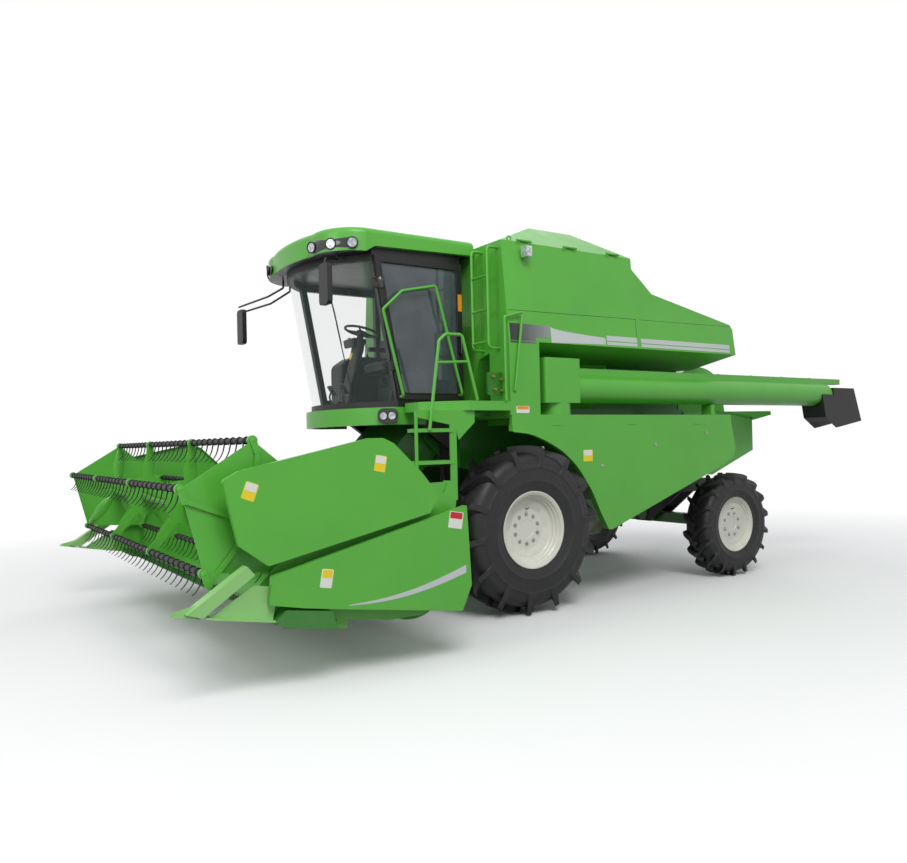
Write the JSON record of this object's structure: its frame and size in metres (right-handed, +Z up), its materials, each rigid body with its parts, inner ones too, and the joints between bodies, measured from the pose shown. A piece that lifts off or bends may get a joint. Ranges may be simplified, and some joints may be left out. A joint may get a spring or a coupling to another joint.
{
  "type": "combine harvester",
  "caption": "Self-propelled grain combine with a raised cutting header and tined reel, side-entry cab, covered grain tank, folded unloading tube and lugged tyres.",
  "frame": {"origin": "on the ground under the middle of the overall length and width", "axes": "+X forward towards the header, +Y to the machine's left, +Z up"},
  "size_m": [9.4734, 4.9, 3.9503],
  "materials": {
    "green_paint": "bright grass green gloss paint",
    "dark_frame_paint": "satin black paint",
    "divider_paint": "pale green paint",
    "rim_paint": "cream gloss paint",
    "tyre_rubber": "dusty black tyre rubber",
    "window_glass": "lightly tinted cab glass",
    "door_glass": "grey tinted door glass",
    "rod_chrome": "hard chromed piston rod",
    "rail_paint": "black tube paint",
    "black_plastic": "grained black plastic",
    "seat_fabric": "dark grey woven seat cover",
    "spout_rubber": "black moulded rubber",
    "lamp_glass": "clear lamp lens over a bright reflector",
    "amber_plastic": "amber lens on a white base"
  },
  "bodies": {
    "chassis": {"chassis_frame": "dark_frame_paint", "front_axle": "green_paint", "rear_axle_beam": "green_paint", "separator_body": "green_paint", "straw_hood": "green_paint", "grain_tank": "green_paint", "engine_hood": "green_paint", "engine_block": "dark_frame_paint", "cab_shell": "dark_frame_paint", "cab_windows": "window_glass", "cab_roof": "green_paint", "cab_bumper": "dark_frame_paint", "operator_seat": "seat_fabric", "steering_console": "black_plastic", "platform": "green_paint", "access_ladder": "green_paint", "handrails": "rail_paint", "tank_ladder": "rail_paint", "mirrors": "black_plastic", "lamps": "lamp_glass", "beacon": "amber_plastic", "side_shelves": "green_paint"},
    "cab_door": {"cab_door": "dark_frame_paint", "door_glass": "door_glass", "door_rail": "rail_paint"},
    "unloading_auger": {"unloading_auger": "green_paint", "auger_spout": "spout_rubber"},
    "header": {"feeder_house": "green_paint", "header_frame": "green_paint", "header_back": "green_paint", "cutter_bar": "dark_frame_paint", "crop_dividers": "divider_paint", "header_shields": "green_paint"},
    "header_auger": {"header_auger": "green_paint"},
    "lift_barrels": {"lift_barrels": "dark_frame_paint"},
    "lift_rods": {"lift_rods": "rod_chrome"},
    "reel_arms": {"reel_arms": "green_paint"},
    "reel": {"reel_frame": "green_paint"},
    "crank_ring": {"crank_ring": "dark_frame_paint"},
    "reel_barrels": {"reel_barrels": "dark_frame_paint"},
    "reel_rods": {"reel_rods": "rod_chrome"},
    "front_left_wheel": {"rim_front_left": "rim_paint", "tyre_front_left": "tyre_rubber"},
    "front_right_wheel": {"rim_front_right": "rim_paint", "tyre_front_right": "tyre_rubber"},
    "rear_left_wheel": {"rim_rear_left": "rim_paint", "tyre_rear_left": "tyre_rubber"},
    "rear_right_wheel": {"rim_rear_right": "rim_paint", "tyre_rear_right": "tyre_rubber"},
    "knuckle_left": {"steering_knuckle_left": "dark_frame_paint"},
    "knuckle_right": {"steering_knuckle_right": "dark_frame_paint"},
    "tank_cover_left": {"tank_cover_left": "green_paint"},
    "tank_cover_right": {"tank_cover_right": "green_paint"},
    "side_panel_left": {"side_panel_left": "green_paint"},
    "side_panel_right": {"side_panel_right": "green_paint"},
    "tine_bar_1": {"tine_bar_1": "dark_frame_paint"},
    "tine_bar_2": {"tine_bar_2": "dark_frame_paint"},
    "tine_bar_3": {"tine_bar_3": "dark_frame_paint"},
    "tine_bar_4": {"tine_bar_4": "dark_frame_paint"},
    "tine_bar_5": {"tine_bar_5": "dark_frame_paint"}
  },
  "joints": [
    {"name": "front_left_wheel_spin", "type": "hinge", "parent": "chassis", "child": "front_left_wheel", "pos_m": [1.103, 1.335, 0.817], "axis": [0, 1, 0], "continuous": true},
    {"name": "front_right_wheel_spin", "type": "hinge", "parent": "chassis", "child": "front_right_wheel", "pos_m": [1.103, -1.335, 0.817], "axis": [0, 1, 0], "continuous": true},
    {"name": "steer_left", "type": "hinge", "parent": "chassis", "child": "knuckle_left", "pos_m": [-2.156, 0.99, 0.64], "axis": [0, 0, 1], "range_deg": [-30, 30]},
    {"name": "steer_right", "type": "hinge", "parent": "chassis", "child": "knuckle_right", "pos_m": [-2.156, -0.99, 0.64], "axis": [0, 0, 1], "range_deg": [-30, 30]},
    {"name": "rear_left_wheel_spin", "type": "hinge", "parent": "knuckle_left", "child": "rear_left_wheel", "pos_m": [-2.156, 1.23, 0.618], "axis": [0, 1, 0], "continuous": true},
    {"name": "rear_right_wheel_spin", "type": "hinge", "parent": "knuckle_right", "child": "rear_right_wheel", "pos_m": [-2.156, -1.23, 0.618], "axis": [0, 1, 0], "continuous": true},
    {"name": "header_lift", "type": "hinge", "parent": "chassis", "child": "header", "pos_m": [1.653, 0, 1.75], "axis": [0, -1, 0], "range_deg": [-10, 8]},
    {"name": "lift_barrel_tilt", "type": "hinge", "parent": "chassis", "child": "lift_barrels", "pos_m": [0.953, 0, 0.7], "axis": [0, -1, 0], "range_deg": [-6.17, 5.04]},
    {"name": "lift_rod_slide", "type": "slide", "parent": "lift_barrels", "child": "lift_rods", "axis": [0.9969, 0, -0.0786], "range_m": [-0.1985, 0.1598]},
    {"name": "reel_lift", "type": "hinge", "parent": "header", "child": "reel_arms", "pos_m": [2.54892, 0, 1.33934], "axis": [0, -1, 0], "range_deg": [0, 14]},
    {"name": "reel_barrel_tilt", "type": "hinge", "parent": "header", "child": "reel_barrels", "pos_m": [3.13989, 0, 0.80382], "axis": [0, -1, 0], "range_deg": [-0.5, 14.29]},
    {"name": "reel_rod_slide", "type": "slide", "parent": "reel_barrels", "child": "reel_rods", "axis": [0.7337, 0, 0.6794], "range_m": [-0.005, 0.1996]},
    {"name": "reel_spin", "type": "hinge", "parent": "reel_arms", "child": "reel", "pos_m": [4.1482, 0, 1.2243], "axis": [0, 1, 0], "continuous": true},
    {"name": "tine_bar_1_level", "type": "hinge", "parent": "reel", "child": "tine_bar_1", "pos_m": [4.11512, 0, 1.7222], "axis": [0, 1, 0], "continuous": true},
    {"name": "tine_bar_2_level", "type": "hinge", "parent": "reel", "child": "tine_bar_2", "pos_m": [3.66444, 0, 1.34671], "axis": [0, 1, 0], "continuous": true},
    {"name": "tine_bar_3_level", "type": "hinge", "parent": "reel", "child": "tine_bar_3", "pos_m": [3.88229, 0, 0.80205], "axis": [0, 1, 0], "continuous": true},
    {"name": "tine_bar_4_level", "type": "hinge", "parent": "reel", "child": "tine_bar_4", "pos_m": [4.46761, 0, 0.84093], "axis": [0, 1, 0], "continuous": true},
    {"name": "tine_bar_5_level", "type": "hinge", "parent": "reel", "child": "tine_bar_5", "pos_m": [4.61151, 0, 1.40961], "axis": [0, 1, 0], "continuous": true},
    {"name": "crank_ring_spin", "type": "hinge", "parent": "reel_arms", "child": "crank_ring", "pos_m": [4.12327, 0, 1.1468], "axis": [0, 1, 0], "continuous": true},
    {"name": "header_auger_spin", "type": "hinge", "parent": "header", "child": "header_auger", "pos_m": [2.99331, 0, 0.65612], "axis": [0, 1, 0], "continuous": true},
    {"name": "unloading_auger_swing", "type": "hinge", "parent": "chassis", "child": "unloading_auger", "pos_m": [0.633, 1.33, 2.205], "axis": [0, 0, -1], "range_deg": [0, 95]},
    {"name": "cab_door_swing", "type": "hinge", "parent": "chassis", "child": "cab_door", "pos_m": [2.213, 0.9283, 2.09], "axis": [-0.1783, 0, -0.984], "range_deg": [0, 42]},
    {"name": "tank_cover_left_fold", "type": "hinge", "parent": "chassis", "child": "tank_cover_left", "pos_m": [0.443, 1.413, 3.644], "axis": [-1, 0, 0], "range_deg": [0, 100]},
    {"name": "tank_cover_right_fold", "type": "hinge", "parent": "chassis", "child": "tank_cover_right", "pos_m": [0.443, -1.413, 3.644], "axis": [1, 0, 0], "range_deg": [0, 100]},
    {"name": "side_panel_left_lift", "type": "hinge", "parent": "chassis", "child": "side_panel_left", "pos_m": [-0.297, 1.505, 1.828], "axis": [1, 0, 0], "range_deg": [0, 80]},
    {"name": "side_panel_right_lift", "type": "hinge", "parent": "chassis", "child": "side_panel_right", "pos_m": [-0.297, -1.505, 1.828], "axis": [-1, 0, 0], "range_deg": [0, 80]}
  ],
  "couplings": [
    {"joint": "steer_right", "follows": "steer_left", "ratio": 1},
    {"joint": "lift_barrel_tilt", "follows": "header_lift", "ratio": 0.5675},
    {"joint": "lift_rod_slide", "follows": "header_lift", "m_per_rad": 1.1087},
    {"joint": "reel_barrel_tilt", "follows": "reel_lift", "ratio": 0.985},
    {"joint": "reel_rod_slide", "follows": "reel_lift", "m_per_rad": 0.79641},
    {"joint": "crank_ring_spin", "follows": "reel_spin", "ratio": 1},
    {"joint": "tine_bar_1_level", "follows": "reel_spin", "ratio": -1},
    {"joint": "tine_bar_2_level", "follows": "reel_spin", "ratio": -1},
    {"joint": "tine_bar_3_level", "follows": "reel_spin", "ratio": -1},
    {"joint": "tine_bar_4_level", "follows": "reel_spin", "ratio": -1},
    {"joint": "tine_bar_5_level", "follows": "reel_spin", "ratio": -1}
  ]
}
